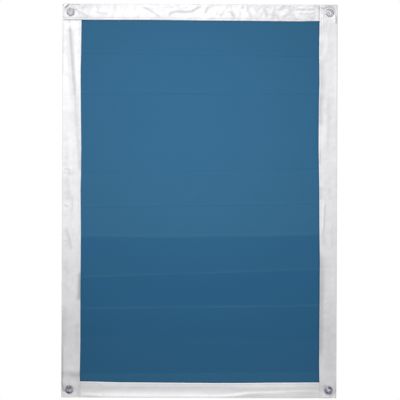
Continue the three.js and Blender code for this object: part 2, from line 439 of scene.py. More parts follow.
# The same vinyl with painted shade for the cups at the foot, darker as if reflecting dark surroundings.
painted_shade_cup = clear_cup_finish("painted_shade_cup", (0.10, 0.09, 0.15, 1), (0.80, 0.78, 0.86, 1), 0.75)

# %% [markdown]
# The blind was folded up in its packet, and the creases still cross it. Every layer is bent
# by the same creases, so one function gives the bend for all of them. Each crease has a
# place, a slant, a slow bend between its neighbours, and a narrow pinch that catches the
# light. The middle and lower ones lie where the model's two fold joints are.


# %% Packing creases
class Crease(NamedTuple):
    height: float  # where it crosses the middle of the blind, up from the centre
    slant: float  # how far it rises from the middle to the right edge
    sag: float  # how much higher both of its ends are than its middle
    bend: float  # how far the layers lean into the room there
    pinch: float  # how far its narrow line stands out, or sinks in
    painted_line: float  # how much paler, or darker, the face is painted along it: painted highlight or shade
    painted_shade: float  # how much painted shade darkens the panel below it


joints = {joint["name"]: joint for joint in frame["joints"]}
middle_fold = joints["middle_fold"]["pos_m"][2] / mm
lower_fold = joints["lower_fold"]["pos_m"][2] / mm

creases = [
    Crease(190.8, -2.1, 0.0, -0.3, -0.10, -0.17, 0.10),
    Crease(140.5, 0.7, 0.0, 0.3, 0.07, -0.12, 0.08),
    Crease(87.6, 0.5, 0.0, -0.2, 0.03, -0.04, 0.06),
    Crease(39.2, 3.6, 0.0, 0.2, -0.07, -0.14, 0.0),
    Crease(middle_fold, 3.0, 0.8, -0.2, -0.05, -0.14, 0.0),
    Crease(-46.9, 2.0, 2.6, 0.35, -0.11, 0.16, 0.31),
    Crease(-94.1, 6.6, 0.5, -0.3, -0.15, 0.36, 0.42),
    Crease(lower_fold, 2.9, 0.4, 0.35, -0.16, 0.52, 0.38),
    Crease(-182.2, -1.5, 0.6, -0.25, -0.05, 0.06, 0.31),
    Crease(-224.8, 2.0, 0.3, 0.25, -0.10, 0.06, 0.08),
]
crease_width = 1.1
shoulder_gap = 2.6
shoulder_highlight = 0.09
painted_shade_above = 0.12
painted_shade_reach = 1.2
patch_share, patch_length = 0.2, 23


def from_foot_to_head(field, foot=0, head=0):
    """One value of the creases, from the bottom hem's edge up to the top one's."""
    return np.array([foot, *[getattr(crease, field) for crease in reversed(creases)], head])


crease_heights = from_foot_to_head("height", bottom_hem_edge, top_hem_edge)
crease_slants = from_foot_to_head("slant")
crease_sags = from_foot_to_head("sag")
crease_bends = from_foot_to_head("bend")


def smooth(low, high, value):
    """0 below low, 1 above high, with a smooth step between them."""
    share = np.clip((value - low) / (high - low), 0, 1)
    return share * share * (3 - 2 * share)


def slanted(x, row):
    """The height of the point at x on a row that is named by its height at the middle."""
    reach = x / right_edge
    rise = np.interp(row, crease_heights, crease_slants) * reach
    sag = np.interp(row, crease_heights, crease_sags) * reach**2
    return row + rise + sag


def crease_lines(x, row):
    """How far the creases' narrow lines stand into the room, and their painted highlight or shade."""
    height, painted_line = 0, 0
    for crease in creases:
        line = np.exp(-(((row - crease.height) / crease_width) ** 2))
        # A painted highlight on each crease's shoulder, just above it.
        shoulder = np.exp(-(((row - crease.height - shoulder_gap) / crease_width) ** 2))
        patchy = 1 - patch_share + patch_share * np.sin(x / patch_length + crease.height)
        height = height + crease.pinch * line * patchy
        painted_line = painted_line + crease.painted_line * line * patchy + shoulder_highlight * shoulder * patchy
    return height, painted_line


def painted_shade(row):
    """How much painted shade each panel of the cloth gets, most below the middle: it changes sharply at
    each crease.
    """
    depth = painted_shade_above + 0 * row
    above = painted_shade_above
    for crease in creases:
        below = 1 - smooth(crease.height - painted_shade_reach, crease.height + painted_shade_reach, row)
        depth = depth + (crease.painted_shade - above) * below
        above = crease.painted_shade
    return depth


print(len(creases), "creases, folding at", round(middle_fold, 2), "and", round(lower_fold, 2), "mm")

# %% [markdown]
# No cloth is flat between its creases. A slow unevenness comes from value noise: random
# heights on a coarse grid, joined by smooth steps, with a seed, so that each run gives the
# same cloth. The discs of the suction cups press a faint ring into the layers over them, and
# over the hems, where more layers lie on each other, the creases are softer.

# %% Slow waves and cup rings
foot_lean = 0.085
head_lean = 0.05
hem_softness = np.arange(-6.0, 6.1, 2.0)
hem_pinch_share = 0.3
hem_step_reach = 4
cloth_waves = [(0.16, 46, 1), (0.07, 19, 2)]
calm_near_cups = (6, 24)
ring_height, ring_width, ring_inset = 0.08, 1.3, 0.8
lean_fades = (118, 158)
lattice_cells, lattice_middle = 700, 300


def drift(x, z, size, seed):
    """Smooth random heights from -1 to 1, with one new value every size millimetres."""
    lattice = np.random.default_rng(seed).uniform(-1, 1, (lattice_cells, lattice_cells))
    across, up = np.broadcast_arrays(x / size + lattice_middle, z / size + lattice_middle)
    i, j = np.floor(across).astype(int), np.floor(up).astype(int)
    s, t = smooth(0, 1, across - i), smooth(0, 1, up - j)
    low = lattice[i, j] * (1 - s) + lattice[i + 1, j] * s
    high = lattice[i, j + 1] * (1 - s) + lattice[i + 1, j + 1] * s
    return low * (1 - t) + high * t


def waves(x, z, kinds):
    """The sum of several kinds of drift, each given by its height, size and seed."""
    return sum(height * drift(x, z, size, seed) for height, size, seed in kinds)


cup_nodes = ["cup_top_left", "cup_top_right", "cup_bottom_left", "cup_bottom_right"]
cup_centres = {}
for node in cup_nodes:
    low, high = edges(node)
    cup_centres[node] = ((low.x + high.x) / 2, (low.z + high.z) / 2)
cup_radius = (edges(cup_nodes[0])[1].x - edges(cup_nodes[0])[0].x) / 2


def from_cups(x, z):
    """The distance to the nearest cup's centre."""
    return np.minimum.reduce([np.hypot(x - a, z - b) for a, b in cup_centres.values()])


def bulge(x, z):
    """Between its cups the foot of the blind leans out into the room, and its head leans in."""
    between_cups = 1 - smooth(*lean_fades, np.abs(x))
    foot = foot_lean * np.maximum(creases[-1].height - z, 0)
    head = head_lean * np.maximum(z - top_hem_edge, 0)
    return between_cups * (foot - head)


def relief(x, row):
    """How far all the layers lean into the room at a point, besides their own thickness."""
    z = slanted(x, row)
    past_hem_edge = np.maximum(left_hem_edge - x, x - right_hem_edge)
    hemmed = smooth(-hem_step_reach, hem_step_reach, past_hem_edge)
    sharp = np.interp(row, crease_heights, crease_bends)
    soft = sum(np.interp(row + step, crease_heights, crease_bends) for step in hem_softness)
    bend = sharp * (1 - hemmed) + soft / len(hem_softness) * hemmed
    pinch = crease_lines(x, row)[0] * (1 - hemmed * (1 - hem_pinch_share))
    away = from_cups(x, z)
    slow = waves(x, z, cloth_waves) * smooth(*calm_near_cups, away)
    ring = ring_height * np.exp(-(((away - cup_radius + ring_inset) / ring_width) ** 2))
    return bend + pinch + slow + ring + bulge(x, z)


# %% [markdown]
# A sheet is a grid of points with a UV map of its flat shape. It is written as mesh code,
# because a grid of thousands of points on a formula has no modelling operator. Where a cup's
# neck passes, the faces inside the hole are left out and the points round it are drawn to a
# circle. Solidify then gives the sheet its thickness, and is applied.

# %% A sheet from a grid
hole_radius = 3.3


def grid_faces(rows, columns, flipped):
    index = np.arange(rows * columns).reshape(rows, columns)
    quads = np.stack([index[:-1, :-1], index[:-1, 1:], index[1:, 1:], index[1:, :-1]], axis=-1)
    quads = quads.reshape(-1, 4)
    return quads[:, ::-1] if flipped else quads


def punched(points, quads):
    """Cuts the cups' holes: drops the faces inside them and rounds off the edge that is left."""
    for across, up in cup_centres.values():
        off = points[:, [0, 2]] - (across, up)
        far = np.linalg.norm(off, axis=1)
        inside = far < hole_radius
        quads = quads[~inside[quads].all(axis=1)]
        pulled = inside & (far > 0)
        points[pulled, 0] = across + off[pulled, 0] / far[pulled] * hole_radius
        points[pulled, 2] = up + off[pulled, 1] / far[pulled] * hole_radius
    return points, quads


def selected(name, mesh):
    """A new object for a mesh, alone selected and active."""
    made = bpy.data.objects.new(name, mesh)
    bpy.context.collection.objects.link(made)
    bpy.ops.object.select_all(action="DESELECT")
    made.select_set(True)
    bpy.context.view_layer.objects.active = made
    return made


def make_sheet(name, grid, flat, shade, thickness, material, flipped=False):
    """A sheet of cloth from a grid of points in millimetres, with its flat places beside it."""
    points = grid.reshape(-1, 3).copy()
    points, quads = punched(points, grid_faces(*grid.shape[:2], flipped))
    used = np.unique(quads)
    renumber = np.zeros(len(points), int)
    renumber[used] = np.arange(len(used))
    mesh = bpy.data.meshes.new(name)
    mesh.from_pydata((points[used] * mm).tolist(), [], renumber[quads].tolist())
    laid_flat = mesh.uv_layers.new(name="flat")
    laid_flat.data.foreach_set("uv", (flat.reshape(-1, 2)[quads.ravel()] * mm).ravel())
    mesh.attributes.new("shade", "FLOAT", "POINT").data.foreach_set("value", shade.ravel()[used])
    mesh.materials.append(material)
    sheet = selected(name, mesh)
    wall = sheet.modifiers.new("thickness", "SOLIDIFY")
    wall.thickness = thickness * mm
    wall.offset = 0
    bpy.ops.object.modifier_apply(modifier=wall.name)
    bpy.ops.object.shade_smooth_by_angle(angle=radians(50))
    print(name, len(sheet.data.polygons), "faces")
    return sheet


# %% [markdown]
# Rows run across the blind and are close together at the creases, whose slant they follow.
# Columns are close together at the cups, where the holes are, and along the hems' edges. The
# sheets cross two fold joints, and a piece can only bend over one, so each is made in two
# lengths that meet in the middle panel, halfway between the folds. The width and length that
# each sheet is cut to are kept by its name.

# %% Rows and columns
meeting_row = (middle_fold + lower_fold) / 2
row_pitch, column_pitch, hem_pitch = 1.7, 5.0, 1.0
crease_reach, crease_row_pitch = 2.8, 0.55
edge_reach, edge_pitch = 3, 0.6
hole_reach, hole_pitch = 5, 1.0
least_row, least_column = 0.2, 0.04
cloth_thickness, lining_thickness = 0.28, 0.22
cut_to = {}


def between(low, high, pitch):
    return np.linspace(low, high, max(2, int(round((high - low) / pitch)) + 1))


def close_to(places, reach, pitch):
    """A few close places round each one of a list."""
    return [place + between(-reach, reach, pitch) for place in places]


def rows_between(low, high, pitch=row_pitch):
    """Row heights from low to high, closer together at each crease and at the hems' edges."""
    near = close_to([crease.height for crease in creases], crease_reach, crease_row_pitch)
    near += close_to([bottom_hem_edge, top_hem_edge], edge_reach, edge_pitch)
    rows = np.unique(np.round(np.concatenate([between(low, high, pitch), *near]), 2))
    return np.array([low, *[row for row in rows if low + least_row < row < high - least_row], high])


def columns_between(low, high, margin=()):
    """Column places from low to high, closer together at the cups and near both edges."""
    near = close_to([x for x, _ in list(cup_centres.values())[:2]], hole_reach, hole_pitch)
    near += close_to([left_hem_edge, right_hem_edge], edge_reach, edge_pitch)
    near += [np.array([low + step, high - step]) for step in margin]
    columns = np.unique(np.round(np.concatenate([between(low, high, column_pitch), *near]), 2))
    return columns[np.concatenate([[True], np.diff(columns) > least_column])]


def in_two_lengths(name, make, low, high, *side):
    """What a maker makes of a piece above the meeting row and of the piece below it."""
    above = make(f"{name}_above", meeting_row, high, *side)
    return above, make(f"{name}_below", low, meeting_row, *side)


# %% [markdown]
# The hems' inner edges waver, because the cloth was folded over and sewn by hand and eye.
# Their places were read off the photograph, and each list gives a few pixels along one edge.

# %% The hems' inner edges
left_inner_edge = [
    (81.8, 20), (81.4, 50), (80.9, 70), (81.0, 96), (81.5, 150), (81.2, 175), (80.8, 190),
    (81.1, 230), (80.6, 300), (80.5, 345), (80, 376), (80.2, 382),
]
right_inner_edge = [
    (319.4, 20), (318.9, 50), (319.2, 84), (318.7, 100), (318.4, 150), (319.1, 190), (319.2, 228),
    (319.6, 262), (319.4, 295), (318.9, 366), (319.1, 382),
]
top_inner_edge = [
    (64, 20.2), (150, 20.3), (210, 21), (240, 21.2), (300, 21.8), (318, 21.4),
]
bottom_inner_edge = [
    (82, 381.1), (98, 381.3), (120, 381.9), (210, 382.6), (240, 382.6), (270, 382.3),
    (318, 382.1),
]


def edge_line(picture_places, upright):
    """A function that gives the inner edge's place across the hem for places along it."""
    places = np.array([on_blind(*place) for place in picture_places])
    along, across = (places[:, 1], places[:, 0]) if upright else (places[:, 0], places[:, 1])
    order = np.argsort(along)
    return lambda at: np.interp(at, along[order], across[order])


left_inner_line = edge_line(left_inner_edge, True)
right_inner_line = edge_line(right_inner_edge, True)
top_inner_line = edge_line(top_inner_edge, False)
bottom_inner_line = edge_line(bottom_inner_edge, False)

# %% [markdown]
# The face cloth lies between the lining and the hems, and shows inside them. A painted shadow
# darkens it along each hem's inner edge, most of all on the right and at the foot. A few soft
# wrinkles cross it aslant and fade out at their ends, with a painted highlight along them.

# %% Face cloth
gap_width = 1.0
wrinkle_highlight = 0.12
layer_step = 0.42
cloth_low, cloth_high = edges("face_cloth_lower")[0], edges("face_cloth_upper")[1]
lining_depth = lining_thickness / 2 - edges("hem_bottom")[1].y
cloth_depth = lining_depth + layer_step


def gap_shade(x, z):
    """How dark the painted shadow is beside the hems' inner edges."""
    shade = 0
    for distance, strength in (
        (x - left_inner_line(z), 0.25),
        (right_inner_line(z) - x, 1.3),
        (z - bottom_inner_line(x), 1.5),
        (top_inner_line(x) - z, 0.9),
    ):
        shade = shade + strength * np.exp(-((np.maximum(distance, 0) / gap_width) ** 2))
    return shade


class Wrinkle(NamedTuple):
    x: float
    z: float
    reach: float  # half its length
    rise: float  # its slope, in degrees
    width: float
    height: float


wrinkles = [
    Wrinkle(-126, 166, 10, -68, 3.0, 0.30),
    Wrinkle(119, 64, 17, 55, 3.6, 0.36),
    Wrinkle(-8, 7, 15, 42, 3.6, 0.30),
    Wrinkle(-37, -42, 8, 38, 3.0, 0.24),
    Wrinkle(136, -27, 10, 54, 3.0, 0.26),
    Wrinkle(-92, -197, 8, 60, 2.6, 0.25),
    Wrinkle(29, -214, 8, 50, 2.6, 0.25),
]


def wrinkled(x, z):
    """How far the soft wrinkles stand out at a point of the face cloth."""
    height = 0
    for wrinkle in wrinkles:
        turn = radians(wrinkle.rise)
        along = (x - wrinkle.x) * cos(turn) + (z - wrinkle.z) * sin(turn)
        across = (z - wrinkle.z) * cos(turn) - (x - wrinkle.x) * sin(turn)
        ends = np.exp(-((along / wrinkle.reach) ** 2))
        height = height + wrinkle.height * ends * np.exp(-((across / wrinkle.width) ** 2))
    return height


def face_cloth(name, low, high):
    rows, columns = rows_between(low, high), columns_between(cloth_low.x, cloth_high.x)
    x, row = np.meshgrid(columns, rows)
    z = slanted(x, row)
    grid = np.stack([x, -(cloth_depth + relief(x, row) + wrinkled(x, z)), z], axis=-1)
    flat = np.stack([x, z], axis=-1)
    # The shade attribute: painted highlight and shade along the creases, a painted highlight on the
    # wrinkles, painted shade over the lower panels and a painted shadow along the hems.
    painted_light = crease_lines(x, row)[1] + wrinkle_highlight * wrinkled(x, z)
    shade = painted_shade(row) - painted_light + gap_shade(x, z)
    cut_to[name] = (cloth_high.x - cloth_low.x, high - low)
    return make_sheet(name, grid, flat, shade, cloth_thickness, blue_cloth)


blue_cloths = in_two_lengths("blue_cloth", face_cloth, cloth_low.z, cloth_high.z)

# %% [markdown]
# The lining is the sheet behind. At its margins it turns up round the edge and becomes the
# hem, so here it is carried round a quarter turn to the outermost line, where the hem's own
# mesh takes over and no joint can be seen from the front or the back.

# %% Lining
half_wall = lining_thickness / 2
turn_radius = 0.425
turn_steps = (0.0, 0.04, 0.12, 0.24, 0.42, 0.9)


def turned_up(from_edge):
    """How far the lining has risen round the edge, at a distance in from its outermost line."""
    inside = np.clip(turn_radius - from_edge, 0, turn_radius)
    return turn_radius - np.sqrt(turn_radius**2 - inside**2)


def lining(name, low, high):
    rows = rows_between(low, high)
    rows = np.unique(np.concatenate([rows, low + np.array(turn_steps), high - np.array(turn_steps)]))
    columns = columns_between(left_edge + half_wall, right_edge - half_wall, turn_steps)
    x, row = np.meshgrid(columns, rows)
    from_side = np.minimum(x - columns[0], columns[-1] - x)
    from_end = np.minimum(row - (bottom_edge + half_wall), top_edge - half_wall - row)
    rise = np.maximum(turned_up(from_side), turned_up(from_end))
    grid = np.stack([x, -(lining_depth + rise + relief(x, row)), slanted(x, row)], axis=-1)
    flat = np.stack([x, slanted(x, row)], axis=-1)
    cut_to[name] = (right_edge - left_edge, high - low + half_wall)
    return make_sheet(name, grid, flat, 0 * x, lining_thickness, silver_lining)


linings = in_two_lengths("lining_sheet", lining, bottom_edge + half_wall, top_edge - half_wall)

# %% [markdown]
# The folds in the hems were traced on enlarged pieces of the photograph. Each is a path
# through a few pixels, with its height and width in millimetres and its grey, the painted shade
# that lies along it; a negative grey is a painted highlight on a ridge. A fold's crown lies to
# the upper left of its painted grey line, because the light comes from there. The top hem was
# traced with its contrast raised, so its folds are softened afterwards.


# %% Traced folds
class Fold(NamedTuple):
    path: list
    height: float
    width: float
    grey: float


traced_top_folds = [
    Fold([(65.3, 8.2), (71.2, 3)], 0.3, 0.9, 0.95),
    Fold([(71, 5), (76, 4.9), (80.5, 5)], 0.2, 0.9, 0.5),
    Fold([(74, 8.8), (79, 12), (84, 14.5), (88.5, 17.3)], 0.26, 0.9, 0.36),
    Fold([(82.5, 9), (84, 7), (86.5, 4.5)], 0.16, 0.9, 0.18),
    Fold([(78.5, 12), (80, 15)], 0.15, 1, 0.25),
    Fold([(95, 11.8), (100, 13.4), (108, 14.2)], 0.22, 1.1, 0.24),
    Fold([(96.5, 6), (99, 9)], 0.15, 1.2, 0.14),
    Fold([(115, 4.5), (114.4, 11), (112, 17.5)], 0.22, 1.3, 0.2),
    Fold([(120.5, 7), (121, 12)], 0.15, 1, 0.1),
    Fold([(125, 7.5), (124, 12), (123, 16.5)], 0.18, 1.1, 0.15),
    Fold([(133, 6), (135.5, 10.5), (139, 16.5)], 0.25, 1.3, 0.2),
    Fold([(142.5, 7), (148, 9.5), (155, 14), (160, 17.2)], 0.4, 0.9, 0.5),
    Fold([(147, 7), (153, 10)], 0.2, 1, 0.16),
    Fold([(145, 13), (148, 15)], 0.16, 1.2, 0.12),
    Fold([(161, 10), (165, 15)], 0.14, 1.4, 0.1),
    Fold([(169, 15.8), (171, 13.3), (176, 11.9), (186, 12.4), (192, 11.6), (196, 9.2),
        (200.5, 7)], 0.45, 1.3, 0.46),
    Fold([(176, 9.7), (183, 9.7)], 0.15, 1.6, 0.16),
    Fold([(168.5, 6), (174, 7.8)], 0.18, 1, 0.16),
    Fold([(176, 5.9), (180, 6.1)], 0.15, 0.9, 0.25),
    Fold([(183, 8.2), (187.5, 8)], 0.15, 1, 0.2),
    Fold([(205.3, 13.6), (206.3, 10), (208.8, 6.3)], 0.35, 1.2, 0.4),
    Fold([(216.2, 9.6), (218.2, 13.3), (221, 15.8), (223.3, 13), (223.8, 9)], 0.28, 1.2, 0.32),
    Fold([(226.5, 6.8), (228, 9)], 0.22, 1.3, 0.3),
    Fold([(227.5, 11.5), (230.8, 13), (232.5, 15.5), (234.8, 18.8)], 0.35, 1.2, 0.46),
    Fold([(241, 9), (244, 7.2)], 0.25, 1.2, 0.32),
    Fold([(239.5, 12), (240.5, 16)], 0.16, 1.1, 0.18),
    Fold([(247.3, 6), (247.7, 11), (249.6, 15), (252, 18.6)], 0.3, 1.4, 0.34),
    Fold([(254.3, 7.2), (256.4, 12.8), (257.6, 9.8)], 0.28, 1.1, 0.4),
    Fold([(258, 9.2), (262.8, 7)], 0.28, 1, 0.46),
    Fold([(262.8, 8.5), (265.3, 11.8), (267, 16.5)], 0.38, 1.7, 0.42),
    Fold([(264, 7), (269.5, 7.6)], 0.2, 1, 0.32),
    Fold([(267, 14), (272, 15.2), (275.5, 15.8), (278.3, 18.3)], 0.3, 1.2, 0.34),
    Fold([(272.8, 14), (274.6, 10), (275, 6.6)], 0.28, 1.4, 0.36),
    Fold([(277.5, 10.5), (281.5, 9.2), (284.2, 6)], 0.32, 1.6, 0.4),
    Fold([(289.4, 6), (289.8, 12.5)], 0.26, 1.7, 0.38),
    Fold([(293.6, 6), (294.2, 9.5)], 0.18, 1.1, 0.3),
    Fold([(283, 16.6), (288, 14.8), (292.5, 15.4), (295.4, 19.3)], 0.3, 1.2, 0.36),
    Fold([(285, 12.5), (291, 13.4)], 0.2, 1.2, 0.18),
    Fold([(295.8, 9.9), (305, 9.9), (314.6, 9.8)], 0.42, 1, 0.5),
    Fold([(297, 13.4), (303, 14.6), (313.8, 14.3)], 0.42, 1.1, 0.48),
    Fold([(304.5, 7.2), (309.5, 7.9)], 0.25, 1, 0.36),
    Fold([(306, 18), (311, 16.8)], 0.2, 1, 0.28),
    Fold([(314.7, 4.6), (319.6, 9.6)], 0.38, 1, 0.8),
    Fold([(311.3, 18.9), (314, 16.8), (318.6, 14.6)], 0.32, 0.9, 0.5),
    Fold([(313, 12.4), (318, 13.2)], 0.2, 0.9, 0.34),
    Fold([(192, 4.9), (200, 4.9)], 0.1, 0.7, 0.4),
    Fold([(136, 5.2), (160, 5.4)], 0.1, 0.8, 0.24),
    Fold([(81, 4.9), (120, 5.1)], 0.1, 0.8, 0.16),
    Fold([(208, 5.9), (240, 6)], 0.1, 0.8, 0.34),
    Fold([(240, 6), (318, 6.2)], 0.1, 0.8, 0.46),
]

corner_end = 72
left_part_end = 240
left_part_shares = (0.5, 1.55, 0.56)
right_part_shares = (0.36, 1.35, 0.36)


def softened(fold):
    """A top fold as it looks at the picture's own contrast, by where along the hem it starts."""
    start = fold.path[0][0]
    if start < corner_end:
        return fold
    height, width, grey = left_part_shares if start < left_part_end else right_part_shares
    return Fold(fold.path, height * fold.height, width * fold.width, grey * fold.grey)


# The painted shade lines and painted highlights of the laps at both ends were traced as they are.
top_folds = [softened(fold) for fold in traced_top_folds] + [
    Fold([(319.0, 4.6), (319.2, 12), (319.1, 21)], 0, 0.7, 0.5),
    Fold([(317.2, 2), (317.2, 24)], 0, 2.8, -0.26),
    Fold([(63.7, 6), (63.7, 19)], 0, 0.8, 0.35),
    Fold([(84, 11), (97, 11)], 0, 7, -0.14),
]
left_folds = [
    Fold([(68.9, 15), (69.5, 22), (70.3, 32)], 0.2, 2.2, 0.2),
    Fold([(70.4, 28), (71.6, 46), (72.7, 60), (73.7, 75), (74.9, 88), (75.2, 97)], 0.6, 3.1, 0.42),
    Fold([(75.6, 95), (76, 107), (76.5, 120), (77.5, 134), (78.6, 146), (79.6, 157),
        (80.4, 170)], 0.4, 3.4, 0.24),
    Fold([(65.6, 128), (66.6, 145), (68.6, 160)], 0.25, 3.2, 0.1),
    Fold([(63.8, 160.8), (67.5, 165.3), (69.8, 169.8), (70.6, 174.5)], 0.25, 1.3, 0.26),
    Fold([(65, 168), (68, 170), (69, 173)], 0.18, 1.3, 0.12),
    Fold([(63.6, 171), (65, 174)], 0.12, 1, 0.1),
    Fold([(66.5, 176), (68.5, 186), (69.5, 199)], 0.2, 3, 0.12),
    Fold([(72.6, 150), (73.4, 160), (73.6, 175)], 0.2, 2.2, 0.1),
    Fold([(72.2, 196), (72.6, 204), (72.4, 212)], 0.25, 1, 0.2),
    Fold([(65, 205), (69, 206.4)], 0.15, 1.3, 0.12),
    Fold([(71, 213), (72.5, 220)], 0.15, 1.3, 0.1),
    Fold([(65.9, 226), (67.6, 232), (69.4, 238), (70.4, 243), (72, 249)], 0.26, 1.5, 0.26),
    Fold([(63.8, 240), (66.2, 241), (68.5, 246)], 0.18, 1.2, 0.14),
    Fold([(67, 258), (67.5, 268), (66.5, 280), (67, 296)], 0.08, 2.4, 0.06),
    Fold([(72.5, 276), (73.3, 284)], 0.15, 1.8, 0.1),
    Fold([(80.4, 272), (80, 284), (79.6, 300)], 0.3, 3, 0.5),
    Fold([(65, 305), (65.4, 325), (65, 345)], 0.2, 2.6, 0.12),
    Fold([(76.5, 322), (77.2, 336), (76.8, 352)], 0.2, 2.4, 0.12),
    Fold([(58, 373.6), (70, 373.8), (84, 374.4)], 0.24, 4.6, 0.26),
    Fold([(70, 374.2), (86, 374.6)], 0, 4.6, 0.14),
    Fold([(63.2, 312), (62.8, 345), (62.6, 384)], 0, 1.3, 0.22),
    Fold([(62.7, 348), (62.6, 365), (62.5, 386)], 0, 1.3, 0.26),
    Fold([(62.1, 382), (63.4, 388.5), (66.2, 393)], 0.35, 0.9, 0.65),
    Fold([(66.2, 393), (69.5, 396.2), (74, 397.2)], 0.25, 0.9, 0.32),
    Fold([(63.9, 22), (63.7, 50), (63.3, 76)], 0.1, 0.9, 0.22),
    Fold([(64, 20), (72, 20), (81, 20.1)], 0, 0.7, 0.55),
    Fold([(67, 396), (72, 392), (77, 393)], 0, 3.4, -0.55),
    Fold([(66, 384), (73, 383.4), (78, 386)], 0, 2.6, -0.45),
    Fold([(62.6, 392), (64, 396)], 0, 2, -0.6),
]
right_folds = [
    Fold([(320, 5.9), (328, 5.7), (336.5, 5.9)], 0.06, 0.8, 0.22),
    Fold([(320.3, 7.6), (323.2, 9), (326.8, 7.6)], 0.25, 0.8, 0.5),
    Fold([(326.8, 7.4), (331, 7.4), (334, 9.6), (335, 14), (335.8, 19), (336, 24)], 0.3, 0.9, 0.58),
    Fold([(323, 20.5), (323.6, 29)], 0.1, 1.1, 0.08),
    Fold([(327.4, 20), (326, 25), (325.9, 32)], 0.1, 1.1, 0.08),
    Fold([(330.5, 22), (329.9, 31)], 0.08, 1.1, 0.05),
    Fold([(328, 17), (328, 24), (328, 44)], 0, 9, -0.16),
    Fold([(321, 13), (324, 15), (323, 19)], 0.15, 1.2, 0.16),
    Fold([(335.4, 26), (335.2, 60), (335, 110)], 0, 1.2, -0.26),
    Fold([(321, 40), (320.8, 55)], 0.15, 2.4, 0.12),
    Fold([(327.4, 28), (327, 45), (325, 57)], 0.1, 1.7, -0.14),
    Fold([(320, 60), (321.3, 76), (321.3, 86), (320, 99)], 0.14, 4.4, 0.27),
    Fold([(320.2, 97), (320.2, 111), (320.4, 125)], 0.14, 3.8, 0.3),
    Fold([(319.8, 150), (320, 164)], 0.2, 2.4, 0.18),
    Fold([(320.4, 186), (320.6, 200)], 0.2, 2.2, 0.14),
    Fold([(324.7, 204), (324.2, 222), (323.2, 232)], 0.35, 1.3, 0.2),
    Fold([(322.5, 232), (324.6, 246)], 0.2, 2.6, 0.12),
    Fold([(319.8, 254), (320.8, 268), (321.2, 282), (320.8, 300)], 0.15, 4.4, 0.36),
    Fold([(320.6, 297), (320.6, 322), (320.2, 356)], 0.15, 3.4, 0.34),
    Fold([(328, 322), (328.5, 340), (328, 376)], 0, 9, 0.07),
    Fold([(328, 100), (328.5, 125), (327.5, 150)], 0.2, 3, 0.06),
    Fold([(327.5, 187), (331, 191)], 0.2, 1.6, 0.1),
    Fold([(328.5, 196), (331, 199)], 0.2, 1.6, 0.1),
    Fold([(331.5, 226), (331.8, 246)], 0.15, 2, 0.06),
    Fold([(336, 384), (335.6, 393)], 0.1, 1, 0.12),
    Fold([(322.5, 397.2), (328, 397.3), (333, 394), (336, 388.5)], 0.2, 0.9, 0.35),
    Fold([(322, 386), (324, 385), (326, 384.5)], 0.1, 1, 0.2),
    Fold([(321, 391), (323, 395), (329, 396)], 0, 2.6, -0.55),
    Fold([(326, 383.6), (332, 384)], 0, 2.2, -0.4),
    Fold([(335, 395), (332, 398)], 0, 2.2, -0.65),
]
bottom_folds = [
    Fold([(82, 396.6), (90, 396.8), (99, 396.4)], 0.12, 1.2, 0.14),
    Fold([(50, 397.4), (200, 397.8), (346, 397.4)], 0, 1.1, -0.4),
    Fold([(98, 388.6), (106, 388.2), (116, 387.9)], 0.06, 2.2, 0.03),
    Fold([(130, 387), (146, 388)], 0.06, 2.2, 0.04),
    Fold([(90, 387.6), (150, 387.6), (250, 387.2)], 0, 4.6, 0.1),
    Fold([(195, 386), (203, 387.2)], 0.06, 1.8, 0.04),
    Fold([(232, 396.6), (245, 395.4), (262, 395.8), (290, 396.2), (318, 397)], 0.14, 2.2, 0.02),
    Fold([(234, 388.5), (260, 387.3), (290, 386.6), (318, 386.2)], 0.12, 3, -0.02),
    Fold([(262, 395.4), (290, 395.4), (330, 395)], 0, 3, -0.2),
    Fold([(296, 393.4), (306, 393.8), (318, 393)], 0.1, 1.4, 0.04),
    Fold([(80, 382.5), (79.8, 398)], 0, 0.7, 0.4),
    Fold([(98, 384.6), (104, 384.6)], 0.1, 1.2, 0.12),
    Fold([(82, 393.8), (92, 394.2), (102, 395.2)], 0.25, 1.9, -0.6),
    Fold([(100, 395.8), (150, 397), (205, 397.2)], 0.3, 4.2, -0.9),
    Fold([(200, 397), (220, 396.4), (234, 395.2), (247, 393.4)], 0.35, 2.2, -0.7),
    Fold([(244, 393.4), (256, 392.6), (272, 392.4), (288, 391.8)], 0.32, 1.9, -0.6),
    Fold([(288, 391.7), (300, 391), (322, 391)], 0.3, 1.6, -0.55),
]

crown_lead = 0.9
fade_outside, fade_inside = 0.08, 0.12


def fold_marks(x, z, folds):
    """The height that the folds add at each point, and their grey: painted shade, or below nought a painted
    highlight.
    """
    height, grey = 0 * x, 0 * x
    for fold in folds:
        places = [on_blind(*place) for place in fold.path]
        nearest = np.full(np.shape(x), np.inf)
        across, run = 0 * x, 0 * x
        travelled = 0
        for (ax, az), (bx, bz) in zip(places, places[1:]):
            length = np.hypot(bx - ax, bz - az)
            ux, uz = (bx - ax) / length, (bz - az) / length
            along = (x - ax) * ux + (z - az) * uz
            held = np.clip(along, 0, length)
            away = np.hypot(x - ax - held * ux, z - az - held * uz)
            lower_right = 1 if ux + uz >= 0 else -1
            signed = ((x - ax) * uz - (z - az) * ux) * lower_right
            closer = away < nearest
            nearest = np.where(closer, away, nearest)
            across = np.where(closer, np.sign(signed) * away, across)
            run = np.where(closer, travelled + along, run)
            travelled += length
        share = run / travelled
        fade = smooth(-fade_outside, fade_inside, share)
        fade = fade * (1 - smooth(1 - fade_inside, 1 + fade_outside, share))
        lead = crown_lead * fold.width if fold.grey > 0 else 0
        height = height + fold.height * fade * np.exp(-(((across + lead) / fold.width) ** 2))
        grey = grey + fold.grey * fade * np.exp(-((across / fold.width) ** 2))
    return height, grey


# %% [markdown]
# A hem is the lining's margin folded round to the front. Its section starts at the raw edge
# that is tucked under, rolls over at the inner edge that shows against the blue, crosses to
# the outer edge as the front leg and turns down to meet the lining. Where a hem laps another
# at a corner it climbs over it.

